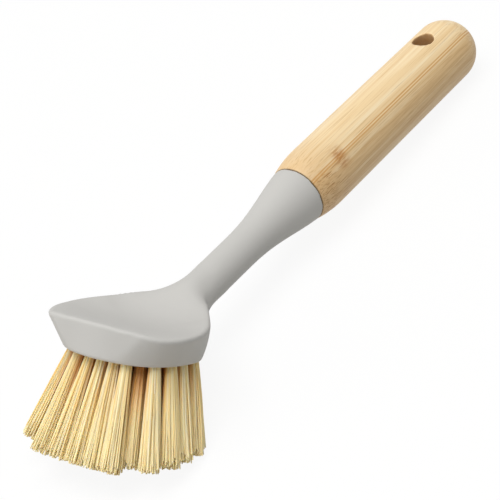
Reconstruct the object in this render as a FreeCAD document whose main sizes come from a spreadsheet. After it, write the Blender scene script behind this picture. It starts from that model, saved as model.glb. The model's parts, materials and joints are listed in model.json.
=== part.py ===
"""Dish brush: a turned bamboo handle glued on the tang of a moulded fan head with anchored, splayed tufts.

The head frame has its origin in the foot plane of the head, +X backwards to the handle, +Z away from the
bristles. The finished brush is turned as it lies on a table, on its rear tufts and the end of its handle.
"""
import FreeCAD, Part
import math
import os
import Sketcher
from FreeCAD import Placement, Rotation, Vector

SIZES = {
    # bamboo handle
    "handle_length": 119.0,
    "handle_radius": 13.75,
    "handle_end_radius": 13.3,
    "handle_seam_radius": 12.1,
    "shoulder_length": 13.0,
    "hang_hole_radius": 4.5,
    "hang_hole_inset": 24.5,
    "bore_clearance": 0.1,
    "bore_spare_depth": 1.5,
    # neck, collar and tang of the moulding, along the handle axis
    "handle_angle": 31.3,
    "axis_forward": 35.8,
    "axis_rise": 20.8,
    "neck_radius": 7.25,
    "neck_blend": 2.0,
    "neck_start": 8.0,
    "flare_start": 23.0,
    "flare_ease": 17.0,
    "collar_end": 62.0,
    "collar_ease": 13.0,
    "collar_slope": 6.0,
    "tang_radius": 7.0,
    "tang_length": 30.0,
    "tang_chamfer": 1.2,
    # fan head: the rim is the top edge of its wall, the foot is the lower one
    "rim_height": 12.7,
    "rim_front": 21.0,
    "rim_half_width": 32.0,
    "rim_corner_radius": 11.0,
    "rim_side_length": 7.5,
    "foot_front": 20.6,
    "foot_half_width": 24.3,
    "foot_corner_radius": 16.5,
    "foot_side_length": 8.9,
    "wall_lift": 3.0,
    "back_corner_radius": 18.0,
    "back_angle": 45.0,
    "waist_radius": 20.0,
    "waist_gap": 0.3,
    "rim_fillet": 1.2,
    "rim_fillet_end": 0.3,
    "foot_fillet": 1.0,
    # hollow of the thumb rest on top of the head
    "dish_front": 1.0,
    "dish_depth": 1.4,
    "dish_lift": 0.2,
    "dish_place": 6.0,
    "ramp_place": 8.0,
    "ramp_edge_lift": 4.2,
    "crest_place": 20.0,
    "crest_half_width": 20.0,
    "crest_sink": 0.8,
    "crest_drop": 2.0,
    # tufts, their holes and their anchor staples
    "row_front": 16.4,
    "row_pitch": 6.1,
    "tuft_margin": 2.9,
    "lean_front": 16.0,
    "lean_back": 10.0,
    "lean_side": 17.0,
    "hole_radius": 2.0,
    "hole_depth": 8.4,
    "tuft_clearance": 0.05,
    "tuft_lip": 1.3,
    "tuft_length_front": 37.0,
    "tuft_length_back": 31.5,
    "tuft_tip_radius": 3.1,
    "fold_thickness": 0.6,
    "staple_thickness": 0.4,
    "staple_width": 1.8,
    "staple_bite": 0.6,
}
TUFTS_PER_ROW = (5, 7, 7, 7, 6)
UP = Vector(0, 0, 1)
ACROSS = Vector(0, 1, 0)
NEAR_ZERO = 1e-6

doc = FreeCAD.newDocument("dish_brush")
sheet = doc.addObject("Spreadsheet::Sheet", "sizes")
for row_number, (alias, value) in enumerate(SIZES.items(), start=1):
    sheet.set(f"A{row_number}", alias)
    sheet.set(f"B{row_number}", str(value))
    sheet.setAlias(f"B{row_number}", alias)
doc.recompute()


def size(alias):
    """Value of one cell of the sheet."""
    return float(sheet.get(alias))


def bind(thing, **expressions):
    """Tie the properties of an object to cells of the sheet."""
    for prop, expression in expressions.items():
        thing.setExpression(prop, expression)


# Where the handle axis runs, in the head frame.
handle_angle = math.radians(size("handle_angle"))
axis_direction = Vector(math.cos(handle_angle), 0, math.sin(handle_angle))
axis_upward = Vector(-math.sin(handle_angle), 0, math.cos(handle_angle))
axis_start = Vector(size("axis_forward"), 0, size("axis_rise"))
axis_placement = Placement(axis_start, Rotation(axis_upward, -ACROSS, axis_direction, "ZXY"))


def on_axis(distance, lift=0.0):
    """Point of the handle axis, or that far above it."""
    return axis_start + axis_direction * distance + axis_upward * lift


def neck_line(place, lift):
    """Height of the neck's upper or lower line over a place along the head."""
    start = on_axis(0, lift)
    return start.z + (place - start.x) * math.tan(handle_angle)


# Roots and directions of the tufts: rows lean forwards, and each row fans out sideways.
def half_width_of_foot(place):
    """Half width of the foot at a place along the head, up to its back corner."""
    front_centre = size("foot_corner_radius") - size("foot_front")
    back_centre = front_centre + size("foot_side_length")
    if place < front_centre:
        radius = size("foot_corner_radius")
        reach = min(front_centre - place, radius)
    else:
        radius = size("back_corner_radius")
        reach = min(max(place - back_centre, 0), radius)
    return size("foot_half_width") - radius + math.sqrt(radius ** 2 - reach ** 2)


def tuft_places():
    """Name, root point, direction and place from front to back of every tuft."""
    last_row = len(TUFTS_PER_ROW) - 1
    widest = size("foot_half_width") - size("tuft_margin")
    for row, count in enumerate(TUFTS_PER_ROW):
        place = row * size("row_pitch") - size("row_front")
        sweep = row / last_row
        lean = math.radians(size("lean_front") * (1 - sweep) + size("lean_back") * sweep)
        reach = half_width_of_foot(place - size("tuft_margin") * (1 - sweep)) - size("tuft_margin")
        for column in range(count):
            side = reach * (2 * column / (count - 1) - 1)
            fan = math.radians(size("lean_side")) * side / widest
            direction = Vector(-math.tan(lean), math.tan(fan), -1).normalize()
            yield f"tuft_{row + 1}_{column + 1}", Vector(place, side, 0), direction, sweep


tufts = list(tuft_places())


def worked_out(expression):
    """Value of an expression over the sheet's cells."""
    return float(sheet.evalExpression(expression.replace("sizes.", "")))


def tuft_length(sweep):
    """Expression of a tuft's length: the rows are trimmed shorter towards the back."""
    return f"(sizes.tuft_length_front * {1 - sweep} + sizes.tuft_length_back * {sweep})"


# How the brush lies: the floor touches the rear tufts and the round end of the handle.
handle_end_centre = on_axis(size("collar_end") + size("handle_length") - size("handle_end_radius"))


def tuft_reach(direction):
    """How far the trimmed ends of the tufts reach in a direction."""
    reaches = []
    for name, root, along, sweep in tufts:
        tip = root + along * worked_out(tuft_length(sweep))
        spread = math.sqrt(1 - along.dot(direction) ** 2)
        reaches.append(tip.dot(direction) + size("tuft_tip_radius") * spread)
    return max(reaches)


def handle_reach(direction):
    """How far the round end of the handle reaches in a direction."""
    return handle_end_centre.dot(direction) + size("handle_end_radius")


def floor_normal(tilt):
    """Upward normal of a floor tilted to the head."""
    return Vector(-math.sin(tilt), 0, math.cos(tilt))


def rest_tilt():
    """Tilt of the floor that touches the tufts and the handle at once, by halving."""
    low = 0.0
    high = math.pi / 2
    while high - low > NEAR_ZERO:
        middle = (low + high) / 2
        down = -floor_normal(middle)
        if tuft_reach(down) > handle_reach(down):
            low = middle
        else:
            high = middle
    return low


tilt = rest_tilt()
floor_along = Vector(math.cos(tilt), 0, math.sin(tilt))
floor_down = -floor_normal(tilt)
rim_corner = Vector(-size("rim_front"), 0, size("rim_height"))
front_reach = max(tuft_reach(-floor_along), rim_corner.dot(-floor_along))
middle_along = (handle_reach(floor_along) - front_reach) / 2
at_rest = Placement(
    Vector(-middle_along, 0, handle_reach(floor_down)), Rotation(ACROSS, math.degrees(tilt))
)


def origin_plane(body, role):
    """Origin plane of a body, by its role."""
    return [feature for feature in body.Origin.OriginFeatures if feature.Role == role][0]


def new_sketch(body, name, role, lift="0"):
    """Sketch on an origin plane of its body, lifted off it by an expression."""
    sketch = body.newObject("Sketcher::SketchObject", name)
    sketch.AttachmentSupport = [(origin_plane(body, role), "")]
    sketch.MapMode = "FlatFace"
    sketch.setExpression("AttachmentOffset.Base.z", lift)
    return sketch


def new_body(name, placement):
    """Body at a place of the head frame."""
    body = doc.addObject("PartDesign::Body", name)
    body.Placement = at_rest.multiply(placement)
    return body


def constrain(sketch, kind, *arguments, expression=None):
    """Add a constraint, with its value tied to the sheet where an expression is given."""
    index = sketch.addConstraint(Sketcher.Constraint(kind, *arguments))
    if expression:
        sketch.setExpression(f"Constraints[{index}]", expression)


def line(start, end):
    """Line of a sketch."""
    return Part.LineSegment(Vector(*start, 0), Vector(*end, 0))


def arc(centre, radius, first, last):
    """Arc of a sketch, between two angles in degrees."""
    circle = Part.Circle(Vector(*centre, 0), UP, radius)
    return Part.ArcOfCircle(circle, math.radians(first), math.radians(last))


# The fan's wall: half an outline at the foot and one above the rim, lofted, padded up and mirrored.
skirt = new_body("skirt", Placement())
WALL_BREAK = "(sizes.rim_height + sizes.wall_lift)"
FAN_TOP = "(sizes.axis_rise + sizes.neck_start + sizes.neck_radius)"
FAN_END = "(sizes.axis_forward + sizes.neck_start + sizes.neck_radius)"
WAIST = "(sizes.neck_radius + sizes.waist_gap)"


def wall_rule(name):
    """Expression of an outline's size above the rim, on the straight line from the foot to the rim."""
    rise = f"{WALL_BREAK} / sizes.rim_height"
    return f"(sizes.foot_{name} + (sizes.rim_{name} - sizes.foot_{name}) * {rise})"


def outline_sketch(name, lift, front, half_width, corner, side_length):
    """Half outline of the fan: front, corner, side, back corner, slope, waist and neck."""
    sketch = new_sketch(skirt, name, "XY_Plane", lift)
    ahead, wide, round_front, along, end, waist = (
        worked_out(rule) for rule in (front, half_width, corner, side_length, FAN_END, WAIST)
    )
    round_back = size("back_corner_radius")
    round_waist = size("waist_radius")
    turn = math.radians(size("back_angle"))
    side_start = round_front - ahead
    side_end = side_start + along
    slope_start = (
        side_end + round_back * math.sin(turn), wide - round_back * (1 - math.cos(turn))
    )
    slope_foot = waist + round_waist * (1 - math.cos(turn))
    slope_end = (slope_start[0] + (slope_start[1] - slope_foot) / math.tan(turn), slope_foot)
    waist_centre = slope_end[0] + round_waist * math.sin(turn)
    turned = size("back_angle")
    sketch.addGeometry([
        line((-ahead, 0), (-ahead, wide - round_front)),
        arc((side_start, wide - round_front), round_front, 90, 180),
        line((side_start, wide), (side_end, wide)),
        arc((side_end, wide - round_back), round_back, 90 - turned, 90),
        line(slope_end, slope_start),
        arc((waist_centre, waist + round_waist), round_waist, 270 - turned, 270),
        line((waist_centre, waist), (end, waist)),
        line((end, waist), (end, 0)),
        line((end, 0), (-ahead, 0)),
    ], False)
    for joint in ((0, 2, 1, 2), (1, 1, 2, 1), (2, 2, 3, 2), (3, 1, 4, 2), (4, 1, 5, 1), (5, 2, 6, 1)):
        constrain(sketch, "Tangent", *joint)
    for joint in ((6, 2, 7, 1), (7, 2, 8, 1), (8, 2, 0, 1)):
        constrain(sketch, "Coincident", *joint)
    for level in (2, 6, 8):
        constrain(sketch, "Horizontal", level)
    for upright in (0, 7):
        constrain(sketch, "Vertical", upright)
    constrain(sketch, "PointOnObject", 0, 1, -1)
    constrain(sketch, "DistanceX", 0, 1, -1, 1, ahead, expression=front)
    constrain(sketch, "DistanceY", -1, 1, 2, 1, wide, expression=half_width)
    constrain(sketch, "Radius", 1, round_front, expression=corner)
    constrain(sketch, "DistanceX", 2, 1, 2, 2, along, expression=side_length)
    constrain(sketch, "Radius", 3, round_back, expression="sizes.back_corner_radius")
    constrain(sketch, "Angle", 4, math.pi - turn, expression="180 - sizes.back_angle")
    constrain(sketch, "Radius", 5, round_waist, expression="sizes.waist_radius")
    constrain(sketch, "DistanceY", -1, 1, 6, 1, waist, expression=WAIST)
    constrain(sketch, "DistanceX", -1, 1, 7, 1, end, expression=FAN_END)
    return sketch


foot_outline = outline_sketch(
    "foot_outline", "0", "sizes.foot_front", "sizes.foot_half_width",
    "sizes.foot_corner_radius", "sizes.foot_side_length",
)
top_outline = outline_sketch(
    "top_outline", WALL_BREAK, wall_rule("front"), wall_rule("half_width"),
    wall_rule("corner_radius"), wall_rule("side_length"),
)
half_wall = skirt.newObject("PartDesign::AdditiveLoft", "half_wall")
half_wall.Profile = foot_outline
half_wall.Sections = [top_outline]
half_wall.Ruled = True
upper_wall = skirt.newObject("PartDesign::Pad", "upper_wall")
upper_wall.Profile = top_outline
bind(upper_wall, Length=FAN_TOP)
doc.recompute()
whole_wall = skirt.newObject("PartDesign::Mirrored", "whole_wall")
whole_wall.Originals = [half_wall, upper_wall]
whole_wall.MirrorPlane = (origin_plane(skirt, "XZ_Plane"), [""])
skirt.Tip = whole_wall
doc.recompute()


# The top of the fan, hollowed for the thumb, runs up into the round neck in one smooth skin.
# Its first sections are wider and further forward than the wall that trims them, by this factor.
OVERHANG = 1.15


def fan_section(place, half_width, top_edge, top_middle, low_edge, low_middle):
    """Upright section of the skin: bowed top and bottom edges between two sides."""
    def bowed(edge, middle):
        curve = Part.BezierCurve()
        curve.setPoles([
            Vector(place, half_width, edge),
            Vector(place, 0, 2 * middle - edge),
            Vector(place, -half_width, edge),
        ])
        return curve.toShape()

    def side(sign):
        low = Vector(place, sign * half_width, low_edge)
        return Part.makeLine(low, Vector(place, sign * half_width, top_edge))

    return Part.Wire(Part.sortEdges(
        [bowed(top_edge, top_middle), side(-1), bowed(low_edge, low_middle), side(1)]
    )[0])


def neck_section(distance):
    """Round section of the neck in four quarters, square to the handle axis."""
    radius = size("neck_radius")
    quarters = []
    for quarter in range(4):
        points = []
        for step in range(3):
            angle = math.radians(45 + 90 * quarter + 45 * step)
            outward = ACROSS * math.cos(angle) + axis_upward * math.sin(angle)
            points.append(on_axis(distance) + outward * radius)
        quarters.append(Part.Arc(*points).toShape())
    return Part.Wire(Part.sortEdges(quarters)[0])


def skin_shape():
    """Skin of the head from ahead of the front wall to the start of the plain neck."""
    rim = size("rim_height")
    wide = size("rim_half_width") * OVERHANG
    radius = size("neck_radius")
    below = neck_line(size("ramp_place"), -radius)
    ramp = neck_line(size("ramp_place"), radius) - size("crest_sink")
    crest = neck_line(size("crest_place"), radius) - size("crest_sink")
    under = neck_line(size("crest_place"), -radius)

    def hollow(place, edge, middle):
        lifted = middle + (edge - middle) * OVERHANG ** 2
        return fan_section(place, wide, lifted, middle, below, below)

    sections = [
        hollow(-size("rim_front") * OVERHANG, rim, rim - size("dish_front")),
        hollow(-size("dish_place"), rim + size("dish_lift"), rim - size("dish_depth")),
        hollow(size("ramp_place"), ramp + size("ramp_edge_lift"), ramp),
        fan_section(size("crest_place"), size("crest_half_width"), crest - size("crest_drop"),
                    crest, under + size("crest_drop"), under),
        neck_section(size("neck_blend")),
        neck_section(size("neck_start")),
    ]
    return Part.makeLoft(sections, True, False)


skin = doc.addObject("Part::Feature", "skin")
skin.Shape = skin_shape()
skin.Placement = at_rest


# Plain neck, flared collar and tang: one profile turned about the handle axis.
def neck_profile():
    """Half section of the neck and tang, with its length along Z and its radius along X."""
    neck = size("neck_radius")
    seam = size("handle_seam_radius")
    tang = size("tang_radius")
    end = size("collar_end")
    tip = end + size("tang_length")
    chamfer = size("tang_chamfer")
    start = size("flare_start")
    ease = size("collar_ease")
    flare = Part.BezierCurve()
    flare.setPoles([
        Vector(neck, 0, start),
        Vector(neck, 0, start + size("flare_ease")),
        Vector(seam - ease * math.tan(math.radians(size("collar_slope"))), 0, end - ease),
        Vector(seam, 0, end),
    ])
    corners = [
        (seam, end), (tang, end), (tang, tip - chamfer), (tang - chamfer, tip), (0, tip),
        (0, size("neck_start")), (neck, size("neck_start")), (neck, start),
    ]
    points = [Vector(radius, 0, along) for radius, along in corners]
    edges = [flare.toShape()]
    edges += [Part.makeLine(corner, following) for corner, following in zip(points, points[1:])]
    return Part.Face(Part.Wire(Part.sortEdges(edges)[0]))


profile = doc.addObject("Part::Feature", "neck_profile")
profile.Shape = neck_profile()
profile.Placement = at_rest.multiply(axis_placement)
neck = doc.addObject("Part::Revolution", "neck")
neck.Source = profile
neck.Base = at_rest.multVec(axis_start)
neck.Axis = at_rest.Rotation.multVec(axis_direction)
neck.Angle = 360
neck.Solid = True

fan = doc.addObject("Part::MultiCommon", "fan")
fan.Shapes = [skirt, skin]
doc.recompute()


def edge_middle(edge):
    """Middle of an edge, in the head frame."""
    return at_rest.inverse().multVec(edge.CenterOfMass)


def rim_edges(shape):
    """Edges where the hollowed top meets the wall, ahead of the crest, with the radius at both ends of each."""
    over_dish = at_rest.multVec(Vector(-size("dish_place"), 0, size("rim_height")))
    top = min(shape.Faces, key=lambda face: face.distToShape(Part.Vertex(over_dish))[0])
    rim = {}
    for number, edge in enumerate(shape.Edges, start=1):
        on_top = any(edge.isSame(other) for other in top.Edges)
        if on_top and edge_middle(edge).x < size("crest_place"):
            rim[number] = [
                at_rest.inverse().multVec(vertex.Point).x for vertex in (edge.firstVertex(), edge.lastVertex())
            ]
    furthest = max(max(places) for places in rim.values())
    for number, places in rim.items():
        radii = [
            size("rim_fillet_end") if furthest - place < NEAR_ZERO else size("rim_fillet") for place in places
        ]
        yield (number, *radii)


def foot_edges(shape):
    """Numbers of the edges round the foot, without the crease where the underside rises."""
    for number, edge in enumerate(shape.Edges, start=1):
        middle = edge_middle(edge)
        if abs(middle.z) < NEAR_ZERO and abs(middle.y) > size("neck_radius") / 2:
            yield number


rounded_rim = doc.addObject("Part::Fillet", "rounded_rim")
rounded_rim.Base = fan
rounded_rim.Edges = list(rim_edges(fan.Shape))
doc.recompute()
rounded_fan = doc.addObject("Part::Fillet", "rounded_fan")
rounded_fan.Base = rounded_rim
rounded_fan.Edges = [
    (number, size("foot_fillet"), size("foot_fillet")) for number in foot_edges(rounded_rim.Shape)
]
solid_head = doc.addObject("Part::MultiFuse", "solid_head")
solid_head.Shapes = [rounded_fan, neck]
doc.recompute()


# Turned bamboo handle: bored for the tang, rounded at its end and cross-drilled to hang.
handle = new_body("bamboo_handle", axis_placement.multiply(Placement(UP * size("collar_end"), Rotation())))
BORE_RADIUS = "(sizes.tang_radius + sizes.bore_clearance)"
BORE_DEPTH = "(sizes.tang_length + sizes.bore_spare_depth)"


def handle_sketch():
    """Half section of the handle, with its radius across and its length upwards."""
    sketch = new_sketch(handle, "handle_section", "XZ_Plane")
    bore = worked_out(BORE_RADIUS)
    depth = worked_out(BORE_DEPTH)
    seam = size("handle_seam_radius")
    widest = size("handle_radius")
    shoulder = size("shoulder_length")
    end = size("handle_end_radius")
    length = size("handle_length")
    step = widest - seam
    swell = (shoulder ** 2 + step ** 2) / (2 * abs(step))
    opening = math.degrees(math.asin(shoulder / swell))
    if step > 0:
        shoulder_arc = arc((widest - swell, shoulder), swell, -opening, 0)
        low, high = 1, 2
    else:
        shoulder_arc = arc((widest + swell, shoulder), swell, 180, 180 + opening)
        low, high = 2, 1
    sketch.addGeometry([
        line((bore, 0), (seam, 0)),
        shoulder_arc,
        line((widest, shoulder), (end, length - end)),
        arc((0, length - end), end, 0, 90),
        line((0, length), (0, depth)),
        line((0, depth), (bore, depth)),
        line((bore, depth), (bore, 0)),
    ], False)
    for joint in ((0, 2, 1, low), (1, high, 2, 1), (2, 2, 3, 1), (3, 2, 4, 1), (4, 2, 5, 1), (5, 2, 6, 1),
                  (6, 2, 0, 1)):
        constrain(sketch, "Coincident", *joint)
    for level in ((0,), (5,), (1, 3, 1, high), (3, 3, 3, 1)):
        constrain(sketch, "Horizontal", *level)
    for upright in (4, 6):
        constrain(sketch, "Vertical", upright)
    constrain(sketch, "PointOnObject", 0, 1, -1)
    constrain(sketch, "PointOnObject", 4, 1, -2)
    constrain(sketch, "PointOnObject", 3, 3, -2)
    constrain(sketch, "DistanceX", -1, 1, 0, 1, bore, expression=BORE_RADIUS)
    constrain(sketch, "DistanceX", -1, 1, 0, 2, seam, expression="sizes.handle_seam_radius")
    constrain(sketch, "DistanceX", -1, 1, 1, high, widest, expression="sizes.handle_radius")
    constrain(sketch, "DistanceY", -1, 1, 1, high, shoulder, expression="sizes.shoulder_length")
    constrain(sketch, "Radius", 3, end, expression="sizes.handle_end_radius")
    constrain(sketch, "DistanceY", -1, 1, 3, 2, length, expression="sizes.handle_length")
    constrain(sketch, "DistanceY", -1, 1, 4, 2, depth, expression=BORE_DEPTH)
    return sketch


handle_section = handle_sketch()
turned = handle.newObject("PartDesign::Revolution", "turned")
turned.Profile = handle_section
turned.ReferenceAxis = (handle_section, ["V_Axis"])
turned.Angle = 360
doc.recompute()

hole_sketch = new_sketch(handle, "hang_hole_circle", "YZ_Plane")
HOLE_PLACE = "(sizes.handle_length - sizes.hang_hole_inset)"
hole_sketch.addGeometry([
    Part.Circle(Vector(0, worked_out(HOLE_PLACE), 0), UP, size("hang_hole_radius"))
], False)
constrain(hole_sketch, "PointOnObject", 0, 3, -2)
constrain(hole_sketch, "DistanceY", -1, 1, 0, 3, worked_out(HOLE_PLACE), expression=HOLE_PLACE)
constrain(hole_sketch, "Radius", 0, size("hang_hole_radius"), expression="sizes.hang_hole_radius")
hang_hole = handle.newObject("PartDesign::Pocket", "hang_hole")
hang_hole.Profile = hole_sketch
hang_hole.Type = "ThroughAll"
hang_hole.Midplane = True
doc.recompute()


# Tufts of fibre folded over flat wire anchors in splayed blind holes.
def primitive(kind, name, placement, lift, **expressions):
    """Primitive solid on a tuft's axis, lifted along it."""
    solid = doc.addObject(kind, name)
    bind(solid, **expressions)
    solid.Placement = placement.multiply(Placement(UP * lift, Rotation()))
    return solid


def make_tuft(name, placement, length):
    """One tuft with its hole and its anchor: returns all three."""
    hole = primitive(
        "Part::Cylinder", f"hole_{name}", placement, -size("hole_depth"),
        Radius="sizes.hole_radius", Height="sizes.hole_depth + sizes.hole_radius",
    )
    root = primitive(
        "Part::Cylinder", f"root_{name}", placement, -size("hole_depth"),
        Radius="sizes.hole_radius - sizes.tuft_clearance", Height="sizes.hole_depth + sizes.tuft_lip",
    )
    brush = primitive(
        "Part::Cone", f"brush_{name}", placement, size("tuft_lip"),
        Radius1="sizes.hole_radius - sizes.tuft_clearance", Radius2="sizes.tuft_tip_radius",
        Height=f"{length} - sizes.tuft_lip",
    )
    half_length = size("hole_radius") + size("staple_bite")
    centred = Placement(Vector(-half_length, -size("staple_thickness") / 2, 0), Rotation())
    staple = primitive(
        "Part::Box", f"staple_{name}", placement.multiply(centred),
        size("fold_thickness") - size("hole_depth"),
        Length="2 * (sizes.hole_radius + sizes.staple_bite)", Width="sizes.staple_thickness",
        Height="sizes.staple_width",
    )
    bundle = doc.addObject("Part::MultiFuse", f"bundle_{name}")
    bundle.Shapes = [root, brush]
    tuft = doc.addObject("Part::Cut", name)
    tuft.Base = bundle
    tuft.Tool = staple
    return tuft, hole, staple


tuft_nodes = []
holes = []
staples = []
for tuft_name, root_point, along, sweep in tufts:
    tuft_placement = at_rest.multiply(Placement(root_point, Rotation(ACROSS, Vector(), along, "ZXY")))
    tuft, hole, staple = make_tuft(tuft_name, tuft_placement, tuft_length(sweep))
    tuft_nodes.append(tuft)
    holes.append(hole)
    staples.append(staple)


def group(name, members):
    """Several separate solids as one object."""
    compound = doc.addObject("Part::Compound", name)
    compound.Links = members
    return compound


anchor_staples = group("anchor_staples", staples)
drilled_head = doc.addObject("Part::Cut", "drilled_head")
drilled_head.Base = solid_head
drilled_head.Tool = group("tuft_holes", holes)
head_moulding = doc.addObject("Part::Cut", "head_moulding")
head_moulding.Base = drilled_head
head_moulding.Tool = anchor_staples
doc.recompute()

nodes = [handle, head_moulding, anchor_staples] + tuft_nodes
for thing in doc.Objects:
    if "Invalid" in thing.State or "Error" in thing.State:
        raise RuntimeError(f"{thing.Name} failed to build")
for node in nodes:
    if node.Shape.isNull() or not node.Shape.isValid() or not node.Shape.Solids:
        raise RuntimeError(f"{node.Name} is not a valid solid")

os.makedirs("parts", exist_ok=True)
for node in nodes:
    node.Label = node.Name
    node.Shape.exportStep(f"parts/{node.Label}.step")
    print(node.Label, len(node.Shape.Solids), "solids", round(node.Shape.Volume, 1), "mm3")
print("rest tilt", round(math.degrees(tilt), 2), "at", at_rest.Base)
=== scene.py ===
# %% [markdown]
# # A dish brush in Blender
# The brush has a bamboo handle, a grey moulded head and tufts of plant fibre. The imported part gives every
# piece its size and place, and this lesson gives each one its surface: it turns the handle, finishes the
# moulding and lays the fibres of every tuft one by one.

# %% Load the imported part
import json
import math
import random

import bpy
import numpy as np
from mathutils import Matrix, Vector


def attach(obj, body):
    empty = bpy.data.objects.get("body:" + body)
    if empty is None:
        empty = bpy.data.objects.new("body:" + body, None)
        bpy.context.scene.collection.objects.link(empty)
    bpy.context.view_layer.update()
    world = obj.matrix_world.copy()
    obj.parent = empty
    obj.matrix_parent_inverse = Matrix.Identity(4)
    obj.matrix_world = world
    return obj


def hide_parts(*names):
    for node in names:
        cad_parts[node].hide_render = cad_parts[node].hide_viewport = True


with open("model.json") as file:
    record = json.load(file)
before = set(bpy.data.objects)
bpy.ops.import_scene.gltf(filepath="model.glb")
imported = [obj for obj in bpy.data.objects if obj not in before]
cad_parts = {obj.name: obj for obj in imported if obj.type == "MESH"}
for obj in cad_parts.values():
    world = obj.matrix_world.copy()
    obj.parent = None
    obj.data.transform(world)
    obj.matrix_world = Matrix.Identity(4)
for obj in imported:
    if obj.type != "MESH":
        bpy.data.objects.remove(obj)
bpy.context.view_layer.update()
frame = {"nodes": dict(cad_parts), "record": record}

MM = 0.001

# %% [markdown]
# ## Small tools
# Operators act on whatever is selected, so every step starts by clearing the selection. The other helpers
# turn a written colour into the linear values that shaders use, and add one shader node with its settings,
# its links and the stops of its ramp in a single call.

# %% Selection, colour and shader nodes
def select_only(piece):
    """Make a piece the only selected object, and the active one."""
    bpy.ops.object.select_all(action="DESELECT")
    piece.select_set(True)
    bpy.context.view_layer.objects.active = piece


def linear(hex_colour):
    """Linear RGBA of an sRGB hex colour."""
    channels = [int(hex_colour[place:place + 2], 16) / 255 for place in (1, 3, 5)]
    return [c / 12.92 if c <= 0.04045 else ((c + 0.055) / 1.055) ** 2.4 for c in channels] + [1.0]


def add_node(tree, kind, settings=None, inputs=None, stops=()):
    """Add a shader node. An input is a socket to link, a hex colour or a plain value."""
    node = tree.nodes.new(kind)
    for name, value in (settings or {}).items():
        setattr(node, name, value)
    for name, value in (inputs or {}).items():
        if isinstance(value, bpy.types.NodeSocket):
            tree.links.new(value, node.inputs[name])
        else:
            node.inputs[name].default_value = linear(value) if isinstance(value, str) else value
    while stops and len(node.color_ramp.elements) < len(stops):
        node.color_ramp.elements.new(1.0)
    for place, (position, colour) in enumerate(stops):
        node.color_ramp.elements[place].position = position
        node.color_ramp.elements[place].color = linear(colour)
    return node


def new_material(name):
    """Material with an empty node tree and its output node."""
    material = bpy.data.materials.new(name)
    material.use_nodes = True
    material.node_tree.nodes.clear()
    return material, material.node_tree, material.node_tree.nodes.new("ShaderNodeOutputMaterial")


# A Mix node has a set of sockets for each kind of data, and these are its places for colours.
MIX_FACTOR, MIX_UNDER, MIX_OVER, MIXED = 0, 6, 7, 2
# Settings that many nodes share.
COLOURS = {"data_type": "RGBA"}
SMOOTH = {"interpolation_type": "SMOOTHSTEP"}
print("red in linear light:", [round(channel, 3) for channel in linear("#FF0000")])

# %% [markdown]
# ## Where things are
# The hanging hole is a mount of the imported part, so its axis and place are known exactly. The handle runs
# square to that axis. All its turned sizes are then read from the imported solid.

# %% Read the handle from the frame
nodes = frame["nodes"]
hole = next(mount for mount in frame["record"]["mounts"] if mount["name"] == "hanging_hole")
hole_centre = Vector(hole["pos_m"])
hole_axis = Vector(hole["axis"]).normalized()
hole_radius = hole["dims"]["r_mm"] * MM
ACROSS = Vector((0, 1, 0))
handle_axis = ACROSS.cross(hole_axis).normalized()
TINY = 0.01 * MM


def points_of(node):
    """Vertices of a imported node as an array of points."""
    return np.array([vertex.co for vertex in nodes[node].data.vertices])


from_hole = points_of("bamboo_handle") - np.array(hole_centre)
along = from_hole @ np.array(handle_axis)
radial = np.linalg.norm(from_hole - np.outer(along, np.array(handle_axis)), axis=1)
seam_centre = hole_centre + handle_axis * float(along.min())
from_seam = along - along.min()
handle_length = float(from_seam.max())
handle_radius = float(radial.max())
shoulder_length = float(from_seam[radial.argmax()])
at_seam = radial[from_seam < TINY]
seam_radius, bore_radius = float(at_seam.max()), float(at_seam.min())
in_bore = (radial < bore_radius + TINY) & (from_seam < handle_length / 2)
bore_depth = float(from_seam[in_bore].max())
to_end = handle_length - from_seam
on_dome = (to_end > TINY) & (to_end < bore_radius) & (radial > hole_radius)
end_radius = float(np.median((radial[on_dome] ** 2 + to_end[on_dome] ** 2) / (2 * to_end[on_dome])))
for label, value in (("length", handle_length), ("radius", handle_radius), ("end radius", end_radius),
                     ("seam radius", seam_radius), ("bore depth", bore_depth)):
    print("handle", label, round(value / MM, 2), "mm")

# %% [markdown]
# ## The bamboo handle
# A real handle is turned on a lathe from a stick of laminated bamboo and then cross-drilled. A spun outline
# would do, and so would a cylinder with loops. Here a disc is extruded ring by ring along the turned profile,
# from the bottom of the bore to the rounded end, because the same tool makes a fibre later. A drill is taken
# away with a Boolean. A voxel remesh and a few passes of smoothing then ease every edge, as sanding does.

# %% Turn a solid
RING_SIDES = 96
SHOULDER_RINGS = 8
DOME_RINGS = 16


def turn_solid(name, profile, sides, start, axis):
    """Solid turned about an axis: a disc extruded and resized along pairs of distance and radius."""
    bpy.ops.object.select_all(action="DESELECT")
    bpy.ops.mesh.primitive_circle_add(
        vertices=sides, radius=profile[0][1], fill_type="NGON", enter_editmode=True,
        location=start + axis * profile[0][0], rotation=axis.to_track_quat("Z", "Y").to_euler(),
    )
    for (distance, radius), (further, wider) in zip(profile, profile[1:]):
        bpy.ops.mesh.extrude_region_move(TRANSFORM_OT_translate={"value": axis * (further - distance)})
        bpy.ops.transform.resize(value=[wider / radius] * 3, center_override=start + axis * further)
    bpy.ops.mesh.select_all(action="SELECT")
    bpy.ops.mesh.normals_make_consistent(inside=False)
    bpy.ops.object.mode_set(mode="OBJECT")
    piece = bpy.context.object
    piece.name = name
    bpy.ops.object.transform_apply(location=True, rotation=True, scale=True)
    return piece


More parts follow.
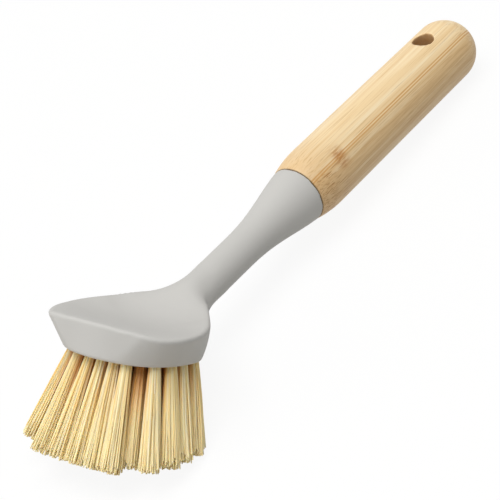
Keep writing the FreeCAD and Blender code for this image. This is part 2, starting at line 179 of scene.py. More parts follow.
draw_in = handle_radius - seam_radius
swell = (shoulder_length ** 2 + draw_in ** 2) / (2 * draw_in)
profile = [(bore_depth, bore_radius), (0.0, bore_radius)]
for step in range(SHOULDER_RINGS + 1):
    distance = shoulder_length * step / SHOULDER_RINGS
    drop = swell - math.sqrt(swell ** 2 - (shoulder_length - distance) ** 2)
    profile.append((distance, handle_radius - drop))
for step in range(DOME_RINGS):
    turn = math.pi / 2 * step / DOME_RINGS
    profile.append((handle_length - end_radius * (1 - math.sin(turn)), end_radius * math.cos(turn)))
handle = turn_solid("turned_handle", profile, RING_SIDES, seam_centre, handle_axis)
print("turned handle has", len(profile), "rings")

# %% Drill and sand it
DRILL_SIDES = 64
HANDLE_VOXEL = 0.42 * MM
SANDING_PASSES = 5
DRILL_DEPTH = 4 * handle_radius


def drill(piece, centre, axis, radius, depth):
    """Take a round hole out of a piece."""
    bpy.ops.object.select_all(action="DESELECT")
    bpy.ops.mesh.primitive_cylinder_add(
        vertices=DRILL_SIDES, radius=radius, depth=depth, location=centre,
        rotation=axis.to_track_quat("Z", "Y").to_euler(),
    )
    bit = bpy.context.object
    select_only(piece)
    cut = piece.modifiers.new("hole", "BOOLEAN")
    cut.object = bit
    cut.operation = "DIFFERENCE"
    bpy.ops.object.modifier_apply(modifier=cut.name)
    bpy.data.objects.remove(bit)


def even_out(piece, voxel):
    """Replace a mesh by small even faces: a voxel remesh."""
    select_only(piece)
    remesh = piece.modifiers.new("even", "REMESH")
    remesh.mode = "VOXEL"
    remesh.voxel_size = voxel
    bpy.ops.object.modifier_apply(modifier=remesh.name)


def ease_edges(piece, passes):
    """Round the edges of an even mesh: passes of smoothing."""
    select_only(piece)
    smooth = piece.modifiers.new("ease", "SMOOTH")
    smooth.factor = 0.5
    smooth.iterations = passes
    bpy.ops.object.modifier_apply(modifier=smooth.name)
    bpy.ops.object.shade_smooth()
    print(piece.name, "has", len(piece.data.polygons), "faces")


drill(handle, hole_centre, hole_axis, hole_radius, DRILL_DEPTH)
even_out(handle, HANDLE_VOXEL)
ease_edges(handle, SANDING_PASSES)
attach(handle, "root")
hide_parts("bamboo_handle")

# %% [markdown]
# ## The grey head
# The head is one injection moulding: a fan with a hollow for the thumb, a neck and a flared collar. The
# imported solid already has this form, so a copy of its mesh is taken and its loose triangles are merged. The
# same remesh as on the handle gives it even faces, which the next steps can move and smooth.

# %% Copy the moulding
HEAD_VOXEL = 0.45 * MM
MERGE = 0.002 * MM


def merged_copy(node, name):
    """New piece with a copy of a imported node's mesh and material, its loose triangles joined."""
    piece = bpy.data.objects.new(name, nodes[node].data.copy())
    bpy.context.scene.collection.objects.link(piece)
    select_only(piece)
    bpy.ops.object.mode_set(mode="EDIT")
    bpy.ops.mesh.select_all(action="SELECT")
    bpy.ops.mesh.remove_doubles(threshold=MERGE)
    bpy.ops.object.mode_set(mode="OBJECT")
    return piece


head = merged_copy("head_moulding", "moulded_head")
even_out(head, HEAD_VOXEL)
print("the even head has", len(head.data.polygons), "faces")

# %% [markdown]
# ## The flow of the fan
# Seen from above, the rim and the foot of the real fan are each one flowing curve, and the wall between them
# swells evenly. Proportional editing could pull the copy there, but its pulls show as waves. Here each curve is a
# short sum of cosines round the fan, and every point moves out and up by its share of the way to them.

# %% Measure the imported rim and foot
HEAD_TILT = math.radians(35.3619)
HEAD_BASE = np.array((-88.80046, 0, 28.93524)) * MM
FAN_MIDDLE = np.array((-2, 0)) * MM
FAN_TOP = 7 * MM
FOOT_BAND = 1.2 * MM
NECK_START = 26 * MM
WEDGES = 120
EDGE_BAND = 0.5 * MM
EVEN_OVER = 7

head_turn = np.array(Matrix.Rotation(HEAD_TILT, 3, "Y"))
points = (np.array([vertex.co for vertex in head.data.vertices]) - HEAD_BASE) @ head_turn
from_middle = points[:, :2] - FAN_MIDDLE
reach = np.linalg.norm(from_middle, axis=1)
turn = np.arctan2(np.abs(from_middle[:, 1]), -from_middle[:, 0])
wedge = np.minimum((turn / math.pi * WEDGES).astype(int), WEDGES - 1)


def packed_edge(chosen):
    """Reach and height, at every point's turn, of the outer edge of the chosen points."""
    edges = []
    for index in range(WEDGES):
        members = np.flatnonzero(chosen & (wedge == index))
        if len(members):
            edge = members[reach[members] > reach[members].max() - EDGE_BAND]
            edges.append(((index + 0.5) / WEDGES * math.pi, reach[edge].max(), points[edge, 2].max()))
    edges = np.pad(np.array(edges), ((EVEN_OVER // 2, EVEN_OVER // 2), (0, 0)), mode="edge")
    turns, reaches, heights = (np.convolve(column, np.ones(EVEN_OVER) / EVEN_OVER, "valid") for column in edges.T)
    return np.interp(turn, turns, reaches), np.interp(turn, turns, heights)


fan = points[:, 0] < NECK_START
rim_reach, rim_height = packed_edge(fan & (points[:, 2] > FAN_TOP))
foot_reach, _ = packed_edge(fan & (points[:, 2] < FOOT_BAND))
for label, edge_reach in (("rim", rim_reach), ("foot", foot_reach)):
    print("the packed", label, "reaches", round(float(edge_reach.max()) / MM, 1), "mm")

# %% Draw them into flowing curves
# Terms of the cosine series round the fan from its front, in mm.
RIM_REACH = (29.078, -1.227, -2.686, -2.009, 0.612, 0.144)
RIM_HEIGHT = (15.007, -3.658, 2.382, -0.18, 0.274, -0.192, -0.052)
FOOT_REACH = (22.695, 2.865, -4.913, 2.255, -1.649, 0.633)
# Share of the reach inside which nothing moves: at the foot it keeps the holes of the tufts in place.
STILL_AT_FOOT, STILL_AT_RIM = 0.85, 0.3
# The flow fades between these turns, where the fan goes over into the neck.
FULL_TURN, NO_TURN = math.radians(120), math.radians(150)


def smooth_step(share):
    """Smooth rise from 0 to 1 of a share that may run past both."""
    share = np.clip(share, 0, 1)
    return share * share * (3 - 2 * share)


def flow(terms):
    """Sum of a cosine series at every point's turn."""
    return sum(term * np.cos(order * turn) for order, term in enumerate(terms)) * MM


up = np.clip(points[:, 2] / rim_height, 0, 1)
edge_reach = foot_reach + (rim_reach - foot_reach) * up
still = STILL_AT_FOOT + (STILL_AT_RIM - STILL_AT_FOOT) * up
weight = (smooth_step((reach / edge_reach - still) / (1 - still))
          * smooth_step((NO_TURN - turn) / (NO_TURN - FULL_TURN)))
foot_shift, rim_shift = flow(FOOT_REACH) - foot_reach, flow(RIM_REACH) - rim_reach
outward = weight * (foot_shift + (rim_shift - foot_shift) * up)
points[:, :2] += from_middle / np.maximum(reach, TINY)[:, None] * outward[:, None]
points[:, 2] += weight * up * (flow(RIM_HEIGHT) - rim_height)
head.data.vertices.foreach_set("co", (points @ head_turn.T + HEAD_BASE).astype(np.float32).ravel())
head.data.update()
print("the wall moved by up to", round(float(np.abs(outward).max()) / MM, 1), "mm")

# %% Ease the edges of the moulding
MOULD_PASSES = 6

ease_edges(head, MOULD_PASSES)
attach(head, "root")
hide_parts("head_moulding")

# %% [markdown]
# ## One fibre
# A tuft is a bundle of stiff plant fibres. One fibre is a thin rod that narrows to its cut end. It is turned
# once, upright, with the tool that turned the handle: five sides and four short lengths are enough to bend.
# Every fibre of a tuft is then a copy of it, bent along a line of its own.

# %% Turn the fibre
# Real fibres are about half as thick. These are drawn coarser, so that they show.
FIBRE_RADIUS = 0.35 * MM
FIBRE_SIDES = 5
FIBRE_RINGS = 4
FIBRE_TAPER = 0.7
UP = Vector((0, 0, 1))

fibre_profile = [(ring / FIBRE_RINGS, FIBRE_RADIUS * (1 - (1 - FIBRE_TAPER) * (ring / FIBRE_RINGS) ** 3))
                 for ring in range(FIBRE_RINGS + 1)]
fibre = turn_solid("fibre", fibre_profile, FIBRE_SIDES, Vector((0, 0, 0)), UP)
fibre_points = np.array([vertex.co for vertex in fibre.data.vertices])
fibre_faces = [list(polygon.vertices) for polygon in fibre.data.polygons]
bpy.data.objects.remove(fibre)
print("one fibre has", len(fibre_points), "points and", len(fibre_faces), "faces")

# %% [markdown]
# ## The tufts
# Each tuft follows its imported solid: from the mouth of its hole to its trimmed end. A particle system could
# scatter the fibres, but laid in code they start evenly over the round hole, and each bows a little and is cut
# ragged. Three attributes go with them: a tint that differs from fibre to fibre, the share of the length from
# the root, and how far inside the brush the fibre stands.

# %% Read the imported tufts
END_BAND = 0.2 * MM


def tuft_line(node):
    """Root, tip, and the radii there, of a packed tuft."""
    points = points_of(node)
    middle = points.mean(axis=0)
    direction = np.linalg.svd(points - middle, full_matrices=False)[2][0]
    if direction[2] > 0:
        direction = -direction
    along = (points - middle) @ direction
    ends = []
    for end in (along.min(), along.max()):
        ring = points[np.abs(along - end) < END_BAND]
        centre = ring.mean(axis=0)
        ends.append((centre, float(np.linalg.norm(ring - centre, axis=1).max())))
    return ends


tuft_nodes = sorted(name for name in nodes if name.startswith("tuft_"))
foot_middle = np.mean([tuft_line(name)[0][0] for name in tuft_nodes], axis=0)
print("found", len(tuft_nodes), "packed tufts")

# %% Bundle the fibres
FIBRES_PER_TUFT = 230
ROOT_SINK = 3.0 * MM
ROOT_FILL = 0.8
TURN_JITTER = 0.3
TIP_SPREAD = 1.15
TIP_WANDER = 0.4 * MM
LONGER = 1.2 * MM
BOW = 0.45 * MM
RAGGED = 1.9 * MM
OVER_FLOOR = 0.3 * MM
CUT_EDGE = math.radians(80)
GOLDEN_ANGLE = math.pi * (3 - math.sqrt(5))
draws = random.Random(7)


def lay_fibres(name, node, outer):
    """Bundle of fibres in the place of a packed tuft. An outer tuft has no other tuft in front of it."""
    (root, root_radius), (tip, tip_radius) = tuft_line(node)
    direction = (tip - root) / np.linalg.norm(tip - root)
    side = np.cross(direction, np.array(ACROSS))
    side /= np.linalg.norm(side)
    other = np.cross(direction, side)
    facing = root - foot_middle
    facing /= np.linalg.norm(facing)
    share = fibre_points[:, 2:]
    points, faces, tints, shares, inners = [], [], [], [], []
    for index in range(FIBRES_PER_TUFT):
        reach = math.sqrt((index + 0.5) / FIBRES_PER_TUFT)
        turn = index * GOLDEN_ANGLE + draws.uniform(-TURN_JITTER, TURN_JITTER)
        outward = side * math.cos(turn) + other * math.sin(turn)
        start = root + direction * ROOT_SINK + outward * (reach * root_radius * ROOT_FILL)
        wander = side * draws.gauss(0, 1) + other * draws.gauss(0, 1)
        end = tip + outward * (reach * tip_radius * TIP_SPREAD) + wander * TIP_WANDER
        end = end + direction * (LONGER + draws.uniform(-RAGGED, RAGGED))
        end[2] = max(end[2], OVER_FLOOR)
        bend = (start + end) / 2 + (side * draws.gauss(0, 1) + other * draws.gauss(0, 1)) * BOW
        line = (1 - share) ** 2 * start + 2 * share * (1 - share) * bend + share ** 2 * end
        first = index * len(fibre_points)
        points.append(line + fibre_points[:, :1] * side + fibre_points[:, 1:2] * other)
        faces += [[first + corner for corner in face] for face in fibre_faces]
        tints.append(np.full(len(fibre_points), draws.random()))
        shares.append(share[:, 0])
        inners.append(np.full(len(fibre_points), (1 - reach * float(outward @ facing)) / 2 if outer else 1.0))
    mesh = bpy.data.meshes.new(name)
    mesh.from_pydata(np.concatenate(points).tolist(), [], faces)
    for label, values in (("tint", tints), ("share", shares), ("inner", inners)):
        attribute = mesh.attributes.new(label, "FLOAT", "POINT")
        attribute.data.foreach_set("value", np.concatenate(values).astype(np.float32))
    tuft = bpy.data.objects.new(name, mesh)
    bpy.context.scene.collection.objects.link(tuft)
    select_only(tuft)
    bpy.ops.object.mode_set(mode="EDIT")
    bpy.ops.mesh.select_all(action="SELECT")
    bpy.ops.mesh.normals_make_consistent(inside=False)
    bpy.ops.object.mode_set(mode="OBJECT")
    bpy.ops.object.shade_smooth_by_angle(angle=CUT_EDGE)
    return tuft


print("each tuft gets", FIBRES_PER_TUFT, "fibres")

# %% Lay every tuft
places = {name: tuple(int(number) for number in name.split("_")[1:]) for name in tuft_nodes}
rows = max(row for row, _ in places.values())
tufts = []
for node, (row, column) in places.items():
    row_end = max(other for other_row, other in places.values() if other_row == row)
    outer = row in (1, rows) or column in (1, row_end)
    tuft = lay_fibres(node.replace("tuft", "fibres"), node, outer)
    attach(tuft, "root")
    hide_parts(node)
    tufts.append(tuft)
print("laid", len(tufts), "tufts with", len(tufts) * FIBRES_PER_TUFT, "fibres")

# %% [markdown]
# ## Bamboo
# Laminated bamboo is strips of pale wood with straight grain, full of short darker bundles of fibre, glued
# side by side. It is turned, sanded and oiled, which gives a satin surface. A picture of the grain would need a
# file and would show a seam round the handle. Noise that is stretched along the handle has neither fault. A
# Mapping node turns the object's coordinates, so that X runs along the handle from its seam and Y across the
# strips.

# %% Strip coordinates
STRIP_TURN = math.radians(139)


def strip_place(tree):
    """Place on the handle: X along it from the seam, Y across its strips, in metres."""
    dip = math.asin(handle_axis.z)
    turned = Matrix.Rotation(STRIP_TURN, 3, "X") @ Matrix.Rotation(dip, 3, "Y")
    return add_node(tree, "ShaderNodeMapping", inputs={
        "Vector": add_node(tree, "ShaderNodeTexCoord").outputs["Object"],
        "Rotation": turned.to_euler(), "Location": -(turned @ seam_centre),
    }).outputs["Vector"]


print("strips are turned", round(math.degrees(STRIP_TURN)), "degrees about the handle")

# %% Streaks of the grain
# Length and width of each kind of streak, and how much finer detail it has.
STREAKS = {"broad": (110 * MM, 2.2 * MM, 2.0), "fine": (24 * MM, 0.5 * MM, 3.0),
           "bundles": (9 * MM, 0.34 * MM, 1.0), "mottle": (3.5 * MM, 0.7 * MM, 3.0)}


def grain_streaks(tree, place):
    """Noise of each kind of streak, stretched along the handle."""
    streak = {}
    for name, (grain_length, grain_width, detail) in STREAKS.items():
        stretched = add_node(tree, "ShaderNodeMapping", inputs={
            "Vector": place, "Scale": (1 / grain_length, 1 / grain_width, 1 / grain_width)})
        streak[name] = add_node(tree, "ShaderNodeTexNoise", inputs={
            "Vector": stretched.outputs["Vector"], "Scale": 1.0, "Detail": detail}).outputs["Fac"]
    return streak


print("kinds of streak:", ", ".join(STREAKS))

# %% [markdown]
# ## Strips, glue and knot
# Two strips meet on the side that the camera sees: a pale one, and a denser one that is darker. The glue between
# them shows as two golden lines. Near the seam there is a knot, where the stem had a joint, and dark bundles of
# fibre run from it to the seam. One large ramp could hold all this, but here each is a layer of colour with a
# soft mask over the last one, because layers can be tuned one at a time.

# %% Lay the strips
GLUE_LINES = (1.7 * MM, 2.7 * MM)
STRIP_BLEND = 1.5 * MM


def lay_strips(tree, streak, length, across):
    """Colour of the two strips with their grain, a painted shade on the shoulder, and the mask of the denser one.
    """
    pale = add_node(tree, "ShaderNodeValToRGB", inputs={"Fac": streak["broad"]},
                    stops=[(0.3, "#EAC894"), (0.5, "#F3D7A7"), (0.7, "#F8E2BA")]).outputs["Color"]
    dark = add_node(tree, "ShaderNodeValToRGB", inputs={"Fac": streak["broad"]},
                    stops=[(0.32, "#D3AC76"), (0.5, "#E4C28E"), (0.68, "#EDD2A5")]).outputs["Color"]
    dense = add_node(tree, "ShaderNodeMapRange", SMOOTH, {
        "Value": across, "From Min": GLUE_LINES[0], "From Max": GLUE_LINES[1] + STRIP_BLEND}).outputs["Result"]
    colour = add_node(tree, "ShaderNodeMix", COLOURS, {
        MIX_FACTOR: dense, MIX_UNDER: pale, MIX_OVER: dark}).outputs[MIXED]
    # Painted shade: towards the seam the turned-down shoulder darkens to a deeper gold, to tone down the overhead
    # light that it catches.
    painted_shoulder_shade = add_node(tree, "ShaderNodeMapRange", SMOOTH, {
        "Value": length, "From Min": 2 * shoulder_length, "From Max": 0.0, "To Max": 0.6}).outputs["Result"]
    colour = add_node(tree, "ShaderNodeMix", COLOURS, {
        MIX_FACTOR: painted_shoulder_shade, MIX_UNDER: colour, MIX_OVER: "#DDB681"}).outputs[MIXED]
    fine = add_node(tree, "ShaderNodeMapRange", SMOOTH, {
        "Value": streak["fine"], "From Min": 0.5, "From Max": 0.75, "To Max": 0.55}).outputs["Result"]
    colour = add_node(tree, "ShaderNodeMix", COLOURS, {
        MIX_FACTOR: fine, MIX_UNDER: colour, MIX_OVER: "#C59A62"}).outputs[MIXED]
    return colour, dense


print("glue lines", round((GLUE_LINES[1] - GLUE_LINES[0]) / MM, 1), "mm apart")

# %% Add the bundles and the glue
GLUE_WIDTH = 0.42 * MM
KNOT_PLACE = 17.5 * MM
KNOT_LENGTH = 5 * MM


def add_bundles(tree, colour, streak, length, dense):
    """Dark bundles of fibre that crowd the dense strip between the seam and the knot."""
    rooted = add_node(tree, "ShaderNodeMapRange", SMOOTH, {
        "Value": length, "From Min": KNOT_PLACE + KNOT_LENGTH, "From Max": KNOT_PLACE - KNOT_LENGTH,
        "To Min": 0.25, "To Max": 0.9}).outputs["Result"]
    bundle = add_node(tree, "ShaderNodeMapRange", SMOOTH, {
        "Value": streak["bundles"], "From Min": 0.5, "From Max": 0.7}).outputs["Result"]
    crowd = add_node(tree, "ShaderNodeMath", {"operation": "MULTIPLY"}, {0: rooted, 1: bundle}).outputs[0]
    crowd = add_node(tree, "ShaderNodeMath", {"operation": "MULTIPLY"}, {0: crowd, 1: dense}).outputs[0]
    return add_node(tree, "ShaderNodeMix", COLOURS, {
        MIX_FACTOR: crowd, MIX_UNDER: colour, MIX_OVER: "#B07A3C"}).outputs[MIXED]


def add_glue(tree, colour, across):
    """Golden lines of glue between the strips."""
    for line in GLUE_LINES:
        off = add_node(tree, "ShaderNodeMath", {"operation": "SUBTRACT"}, {0: across, 1: line}).outputs[0]
        off = add_node(tree, "ShaderNodeMath", {"operation": "ABSOLUTE"}, {0: off}).outputs[0]
        glue = add_node(tree, "ShaderNodeMapRange", SMOOTH, {
            "Value": off, "From Min": GLUE_WIDTH, "From Max": 0.0, "To Max": 0.85}).outputs["Result"]
        colour = add_node(tree, "ShaderNodeMix", COLOURS, {
            MIX_FACTOR: glue, MIX_UNDER: colour, MIX_OVER: "#CE8F3C"}).outputs[MIXED]
    return colour


print("the knot is", KNOT_PLACE / MM, "mm from the seam")

# %% Add the knot
KNOT_GIRTH = 7 * MM
KNOT_CORE = 1 * MM


def add_knot(tree, colour, streak, length, across):
    """Soft mottled knot of the stem, round the glue lines."""
    off = add_node(tree, "ShaderNodeMath", {"operation": "SUBTRACT"}, {0: length, 1: KNOT_PLACE}).outputs[0]
    off = add_node(tree, "ShaderNodeMath", {"operation": "ABSOLUTE"}, {0: off}).outputs[0]
    ring = add_node(tree, "ShaderNodeMapRange", SMOOTH, {
        "Value": off, "From Min": KNOT_LENGTH, "From Max": 0.0}).outputs["Result"]
    speckle = add_node(tree, "ShaderNodeMapRange", SMOOTH, {
        "Value": streak["mottle"], "From Min": 0.3, "From Max": 0.6}).outputs["Result"]
    knot = add_node(tree, "ShaderNodeMath", {"operation": "MULTIPLY"}, {0: ring, 1: speckle}).outputs[0]
    off = add_node(tree, "ShaderNodeMath", {"operation": "SUBTRACT"}, {0: across, 1: GLUE_LINES[1]}).outputs[0]
    off = add_node(tree, "ShaderNodeMath", {"operation": "ABSOLUTE"}, {0: off}).outputs[0]
    girth = add_node(tree, "ShaderNodeMapRange", SMOOTH, {
        "Value": off, "From Min": KNOT_GIRTH, "From Max": KNOT_CORE, "To Max": 0.9}).outputs["Result"]
    knot = add_node(tree, "ShaderNodeMath", {"operation": "MULTIPLY"}, {0: knot, 1: girth}).outputs[0]
    return add_node(tree, "ShaderNodeMix", COLOURS, {
        MIX_FACTOR: knot, MIX_UNDER: colour, MIX_OVER: "#B5793A"}).outputs[MIXED]


print("the knot is", 2 * KNOT_LENGTH / MM, "mm long")

# %% [markdown]
# ## Seam and hole
# Two places on the handle are darker. At the very edge of the seam a dark line is painted shade, for the crease
# between handle and collar. The wall of the hole is painted brown: partly its rough end grain, partly painted
# shade inside the hole. A second material could cover them, but masks by distance have soft edges.

# %% Paint shade at the seam and in the hole
SEAM_SHADE = 0.5 * MM
HOLE_EDGE = 0.3 * MM


def paint_seam_shade(tree, colour, length):
    """Painted shade: a dark line on the edge of the handle, in the crease at the seam."""
    painted_seam_shade = add_node(tree, "ShaderNodeMapRange", SMOOTH, {
        "Value": length, "From Min": SEAM_SHADE, "From Max": 0.0, "To Max": 0.85}).outputs["Result"]
    return add_node(tree, "ShaderNodeMix", COLOURS, {
        MIX_FACTOR: painted_seam_shade, MIX_UNDER: colour, MIX_OVER: "#5E4A35"}).outputs[MIXED]


def brown_hole_and_shade(tree, colour):
    """Brown end grain and painted shade on the wall of the hanging hole, by distance from its axis."""
    away = add_node(tree, "ShaderNodeVectorMath", {"operation": "SUBTRACT"}, {
        0: add_node(tree, "ShaderNodeTexCoord").outputs["Object"], 1: hole_centre}).outputs["Vector"]
    away = add_node(tree, "ShaderNodeVectorMath", {"operation": "CROSS_PRODUCT"}, {
        0: away, 1: hole_axis}).outputs["Vector"]
    away = add_node(tree, "ShaderNodeVectorMath", {"operation": "LENGTH"}, {0: away}).outputs["Value"]
    bored_and_shaded = add_node(tree, "ShaderNodeMapRange", SMOOTH, {
        "Value": away, "From Min": hole_radius + HOLE_EDGE, "From Max": hole_radius, "To Max": 0.7,
    }).outputs["Result"]
    return add_node(tree, "ShaderNodeMix", COLOURS, {
        MIX_FACTOR: bored_and_shaded, MIX_UNDER: colour, MIX_OVER: "#BC8A50"}).outputs[MIXED]


print("the hole is brown within", round((hole_radius + HOLE_EDGE) / MM, 1), "mm of its axis")

# %% Put the bamboo together
def bamboo():
    """Turned, sanded and oiled laminated bamboo."""
    material, tree, output = new_material("laminated_bamboo_oiled")
    place = strip_place(tree)
    parts = add_node(tree, "ShaderNodeSeparateXYZ", inputs={"Vector": place})
    length, across = parts.outputs["X"], parts.outputs["Y"]
    streak = grain_streaks(tree, place)
    colour, dense = lay_strips(tree, streak, length, across)
    colour = add_bundles(tree, colour, streak, length, dense)
    colour = add_glue(tree, colour, across)
    colour = add_knot(tree, colour, streak, length, across)
    # Painted shade in the crease at the seam.
    colour = paint_seam_shade(tree, colour, length)
    # Brown end grain and painted shade inside the hanging hole.
    colour = brown_hole_and_shade(tree, colour)
    # Oil gives a satin gloss that changes with the grain, and sanding leaves the hard streaks a little proud.
    rough = add_node(tree, "ShaderNodeMapRange", inputs={
        "Value": streak["fine"], "To Min": 0.38, "To Max": 0.54}).outputs["Result"]
    bump = add_node(tree, "ShaderNodeBump", inputs={
        "Height": streak["fine"], "Strength": 0.25, "Distance": 0.05 * MM}).outputs["Normal"]
    shader = add_node(tree, "ShaderNodeBsdfPrincipled", inputs={
        "Base Color": colour, "Roughness": rough, "IOR": 1.48, "Normal": bump})
    tree.links.new(shader.outputs["BSDF"], output.inputs["Surface"])
    return material


handle.data.materials.append(bamboo())
print("the handle is finished in", handle.data.materials[0].name)

# %% [markdown]
# ## Grey polypropylene
# The head is moulded in a mould with a fine spark-eroded finish, so it is satin: it shows soft highlights
# and no mirror image. A plain grey would look like paint, so the grey drifts a little, as it does where plastic
# flows, and the grain of the mould is a bump. The copied mesh brought its packed plain grey along in its first
# slot, and its faces use that one. So this finish stands ready in the second slot and doesn't show yet.

# %% Make the plastic
# The real grain is finer. It is drawn this coarse, so that it shows close up.
GRIT = 0.3 * MM
CLOUD = 14 * MM


def grey_plastic():
    """Moulded polypropylene with a fine satin texture."""
    material, tree, output = new_material("moulded_polypropylene_grey")
    place = add_node(tree, "ShaderNodeTexCoord").outputs["Object"]
    cloud = add_node(tree, "ShaderNodeTexNoise", inputs={"Vector": place, "Scale": 1 / CLOUD}).outputs["Fac"]
    grit = add_node(tree, "ShaderNodeTexNoise", inputs={"Vector": place, "Scale": 1 / GRIT}).outputs["Fac"]
    colour = add_node(tree, "ShaderNodeValToRGB", inputs={"Fac": cloud},
                      stops=[(0.3, "#C4C3BE"), (0.7, "#C9C8C3")]).outputs["Color"]
    rough = add_node(tree, "ShaderNodeMapRange", inputs={
        "Value": grit, "To Min": 0.42, "To Max": 0.52}).outputs["Result"]
    bump = add_node(tree, "ShaderNodeBump", inputs={
        "Height": grit, "Strength": 0.15, "Distance": 0.02 * MM}).outputs["Normal"]
    shader = add_node(tree, "ShaderNodeBsdfPrincipled", inputs={
        "Base Color": colour, "Roughness": rough, "IOR": 1.49, "Normal": bump})
    tree.links.new(shader.outputs["BSDF"], output.inputs["Surface"])
    return material


head.data.materials.append(grey_plastic())
print("the faces of the head use", head.data.materials[head.data.polygons[0].material_index].name)

# %% [markdown]
# ## Plant fibre
# The fibres are cut from the leaves of a plant. They are pale straw to golden, and a little light goes into them.
# Light that goes in between the tufts comes out amber. A hair shader could follow that, but it costs time and is
# lost in an export, so that light is painted: fibres that stand further inside are amber at their roots as painted
# shade, and all are paler at their tips as painted light.

# %% Make the fibre's surface
def plant_fibre():
    """Stiff plant fibre, each fibre with a tint of its own."""
    material, tree, output = new_material("tampico_fibre")
    tint = add_node(tree, "ShaderNodeAttribute", {"attribute_name": "tint"}).outputs["Fac"]
    share = add_node(tree, "ShaderNodeAttribute", {"attribute_name": "share"}).outputs["Fac"]
    colour = add_node(tree, "ShaderNodeValToRGB", inputs={"Fac": tint}, stops=[
        (0.0, "#FFEFC6"), (0.5, "#FFE4A6"), (0.85, "#FCDB94"), (1.0, "#F8CC78")]).outputs["Color"]
    inner = add_node(tree, "ShaderNodeAttribute", {"attribute_name": "inner"}).outputs["Fac"]
    # Painted shade: fibres that stand further inside the brush turn amber towards their roots.
    rooted = add_node(tree, "ShaderNodeMapRange", SMOOTH, {
        "Value": share, "From Min": 0.75, "From Max": 0.1, "To Max": 0.85}).outputs["Result"]
    deep = add_node(tree, "ShaderNodeMapRange", SMOOTH, {
        "Value": inner, "From Min": 0.2, "From Max": 0.8}).outputs["Result"]
    rooted = add_node(tree, "ShaderNodeMath", {"operation": "MULTIPLY"}, {0: rooted, 1: deep}).outputs[0]
    colour = add_node(tree, "ShaderNodeMix", COLOURS, {
        MIX_FACTOR: rooted, MIX_UNDER: colour, MIX_OVER: "#CC7C08"}).outputs[MIXED]
    # Painted light: the fibres turn paler towards their cut ends, for the light that the spread tips let through.
    painted_tip_light = add_node(tree, "ShaderNodeMapRange", SMOOTH, {
        "Value": share, "From Min": 0.3, "From Max": 1.0, "To Max": 0.6}).outputs["Result"]
    colour = add_node(tree, "ShaderNodeMix", COLOURS, {
        MIX_FACTOR: painted_tip_light, MIX_UNDER: colour, MIX_OVER: "#FFEEBC"}).outputs[MIXED]
    shader = add_node(tree, "ShaderNodeBsdfPrincipled", inputs={
        "Base Color": colour, "Roughness": 0.5, "IOR": 1.5,
        "Subsurface Weight": 0.3, "Subsurface Radius": (1.0, 0.75, 0.4), "Subsurface Scale": 0.3 * MM})
    tree.links.new(shader.outputs["BSDF"], output.inputs["Surface"])
    return material


fibre_material = plant_fibre()
for tuft in tufts:
    tuft.data.materials.append(fibre_material)
print("the tufts are finished in", fibre_material.name)

# %% [markdown]
# ## Anchor wire
# The flat wire anchors sit out of sight at the bottom of their holes. Nothing of their shape has to change, so
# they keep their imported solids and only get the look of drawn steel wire: a metal with fine scratches.

# %% Make the wire
SCRATCH = 0.2 * MM


def anchor_wire():
    """Drawn flat steel wire."""
    material, tree, output = new_material("drawn_steel_wire")
    place = add_node(tree, "ShaderNodeTexCoord").outputs["Object"]
    scratch = add_node(tree, "ShaderNodeTexNoise", inputs={"Vector": place, "Scale": 1 / SCRATCH}).outputs["Fac"]
    colour = add_node(tree, "ShaderNodeValToRGB", inputs={"Fac": scratch},
                      stops=[(0.3, "#A9A9A8"), (0.7, "#BDBDBC")]).outputs["Color"]
    shader = add_node(tree, "ShaderNodeBsdfPrincipled", inputs={
        "Base Color": colour, "Metallic": 1.0, "Roughness": 0.35})
    tree.links.new(shader.outputs["BSDF"], output.inputs["Surface"])
    return material


staples = nodes["anchor_staples"]
staples.data.materials.clear()
staples.data.materials.append(anchor_wire())
print("the anchors are finished in", staples.data.materials[0].name)

# %% [markdown]
# ## Camera
# The camera stands where the photograph was taken from: a long lens, rolled so that the handle rises to the
# upper right. Its place and its turn were fitted to the outline of the brush.

# %% Place the camera
LENS = 172.655
CAMERA_RIGHT = Vector((0.56603, -0.77136, -0.29088))
CAMERA_UP = Vector((0.6275, 0.17429, 0.75886))
CAMERA_PLACE = Vector((-508.41, -560.38, 553.39)) * MM

camera_right = CAMERA_RIGHT.normalized()
camera_back = camera_right.cross(CAMERA_UP).normalized()
camera_up = camera_back.cross(camera_right)
camera_data = bpy.data.cameras.new("camera")
camera_data.lens = LENS
camera = bpy.data.objects.new("camera", camera_data)
bpy.context.scene.collection.objects.link(camera)
camera.matrix_world = Matrix.Translation(CAMERA_PLACE) @ Matrix(
    (camera_right, camera_up, camera_back)).transposed().to_4x4()
bpy.context.scene.camera = camera
print("the camera stands", round(CAMERA_PLACE.length, 2), "m from the origin")

# %% [markdown]
# ## Studio
# A product photograph on white: a large soft lamp overhead, a weaker one from the left, even light all round
# and a pale floor. More light would whiten the floor too, but it would bleach the brush. So the camera is shown
# white where it looks at the floor and the world, and the floor still takes a soft shadow.

# %% Build the studio
FLOOR_SIDE = 6.0
LAMP_DISTANCE = 2.5
# Direction, size in metres and power in watts of each lamp.
LAMPS = {"overhead": (Vector((-0.1, -0.05, 1.0)), 1.9, 54.0), "front": (Vector((-0.8, 0.55, 0.3)), 1.5, 17.0)}
AMBIENT = 0.25
WHITE_STRENGTH = 1.07
FLOOR_WHITENED = 0.85


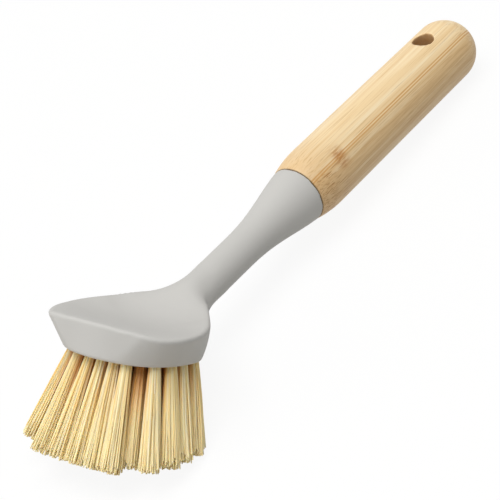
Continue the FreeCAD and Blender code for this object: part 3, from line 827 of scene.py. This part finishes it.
def white_to_camera(tree, surface, share, strength):
    """Blend a surface towards plain white where the camera, a mirror or a glass looks at it."""
    path = add_node(tree, "ShaderNodeLightPath")
    seen = add_node(tree, "ShaderNodeMath", {"operation": "MAXIMUM"}, {
        0: path.outputs["Is Glossy Ray"], 1: path.outputs["Is Transmission Ray"]}).outputs[0]
    seen = add_node(tree, "ShaderNodeMath", {"operation": "MAXIMUM"}, {
        0: path.outputs["Is Camera Ray"], 1: seen}).outputs[0]
    seen = add_node(tree, "ShaderNodeMath", {"operation": "MULTIPLY"}, {0: seen, 1: share}).outputs[0]
    white = add_node(tree, "ShaderNodeEmission", inputs={"Color": "#FFFFFF", "Strength": strength})
    return add_node(tree, "ShaderNodeMixShader", inputs={
        0: seen, 1: surface, 2: white.outputs["Emission"]}).outputs["Shader"]


bpy.ops.object.select_all(action="DESELECT")
bpy.ops.mesh.primitive_plane_add(size=FLOOR_SIDE)
floor = bpy.context.object
floor.name = "floor"
floor_material, floor_tree, floor_output = new_material("pale_floor")
floor_shader = add_node(floor_tree, "ShaderNodeBsdfPrincipled", inputs={
    "Base Color": "#C4C4C2", "Roughness": 0.9})
floor_tree.links.new(white_to_camera(floor_tree, floor_shader.outputs["BSDF"], FLOOR_WHITENED, WHITE_STRENGTH),
                     floor_output.inputs["Surface"])
floor.data.materials.append(floor_material)

for name, (direction, size, power) in LAMPS.items():
    data = bpy.data.lights.new(name, "AREA")
    data.size, data.energy = size, power
    lamp = bpy.data.objects.new(name, data)
    bpy.context.scene.collection.objects.link(lamp)
    lamp.location = direction.normalized() * LAMP_DISTANCE
    lamp.rotation_euler = direction.to_track_quat("Z", "Y").to_euler()

world = bpy.data.worlds.new("studio")
bpy.context.scene.world = world
world.use_nodes = True
world.node_tree.nodes.clear()
ambient = add_node(world.node_tree, "ShaderNodeBackground", inputs={"Color": "#FFFFFF", "Strength": AMBIENT})
add_node(world.node_tree, "ShaderNodeOutputWorld", inputs={
    "Surface": white_to_camera(world.node_tree, ambient.outputs["Background"], 1.0, 1.0)})
bpy.context.scene.view_settings.view_transform = "Standard"
print("lamps:", {name: power for name, (_, _, power) in LAMPS.items()}, "W")
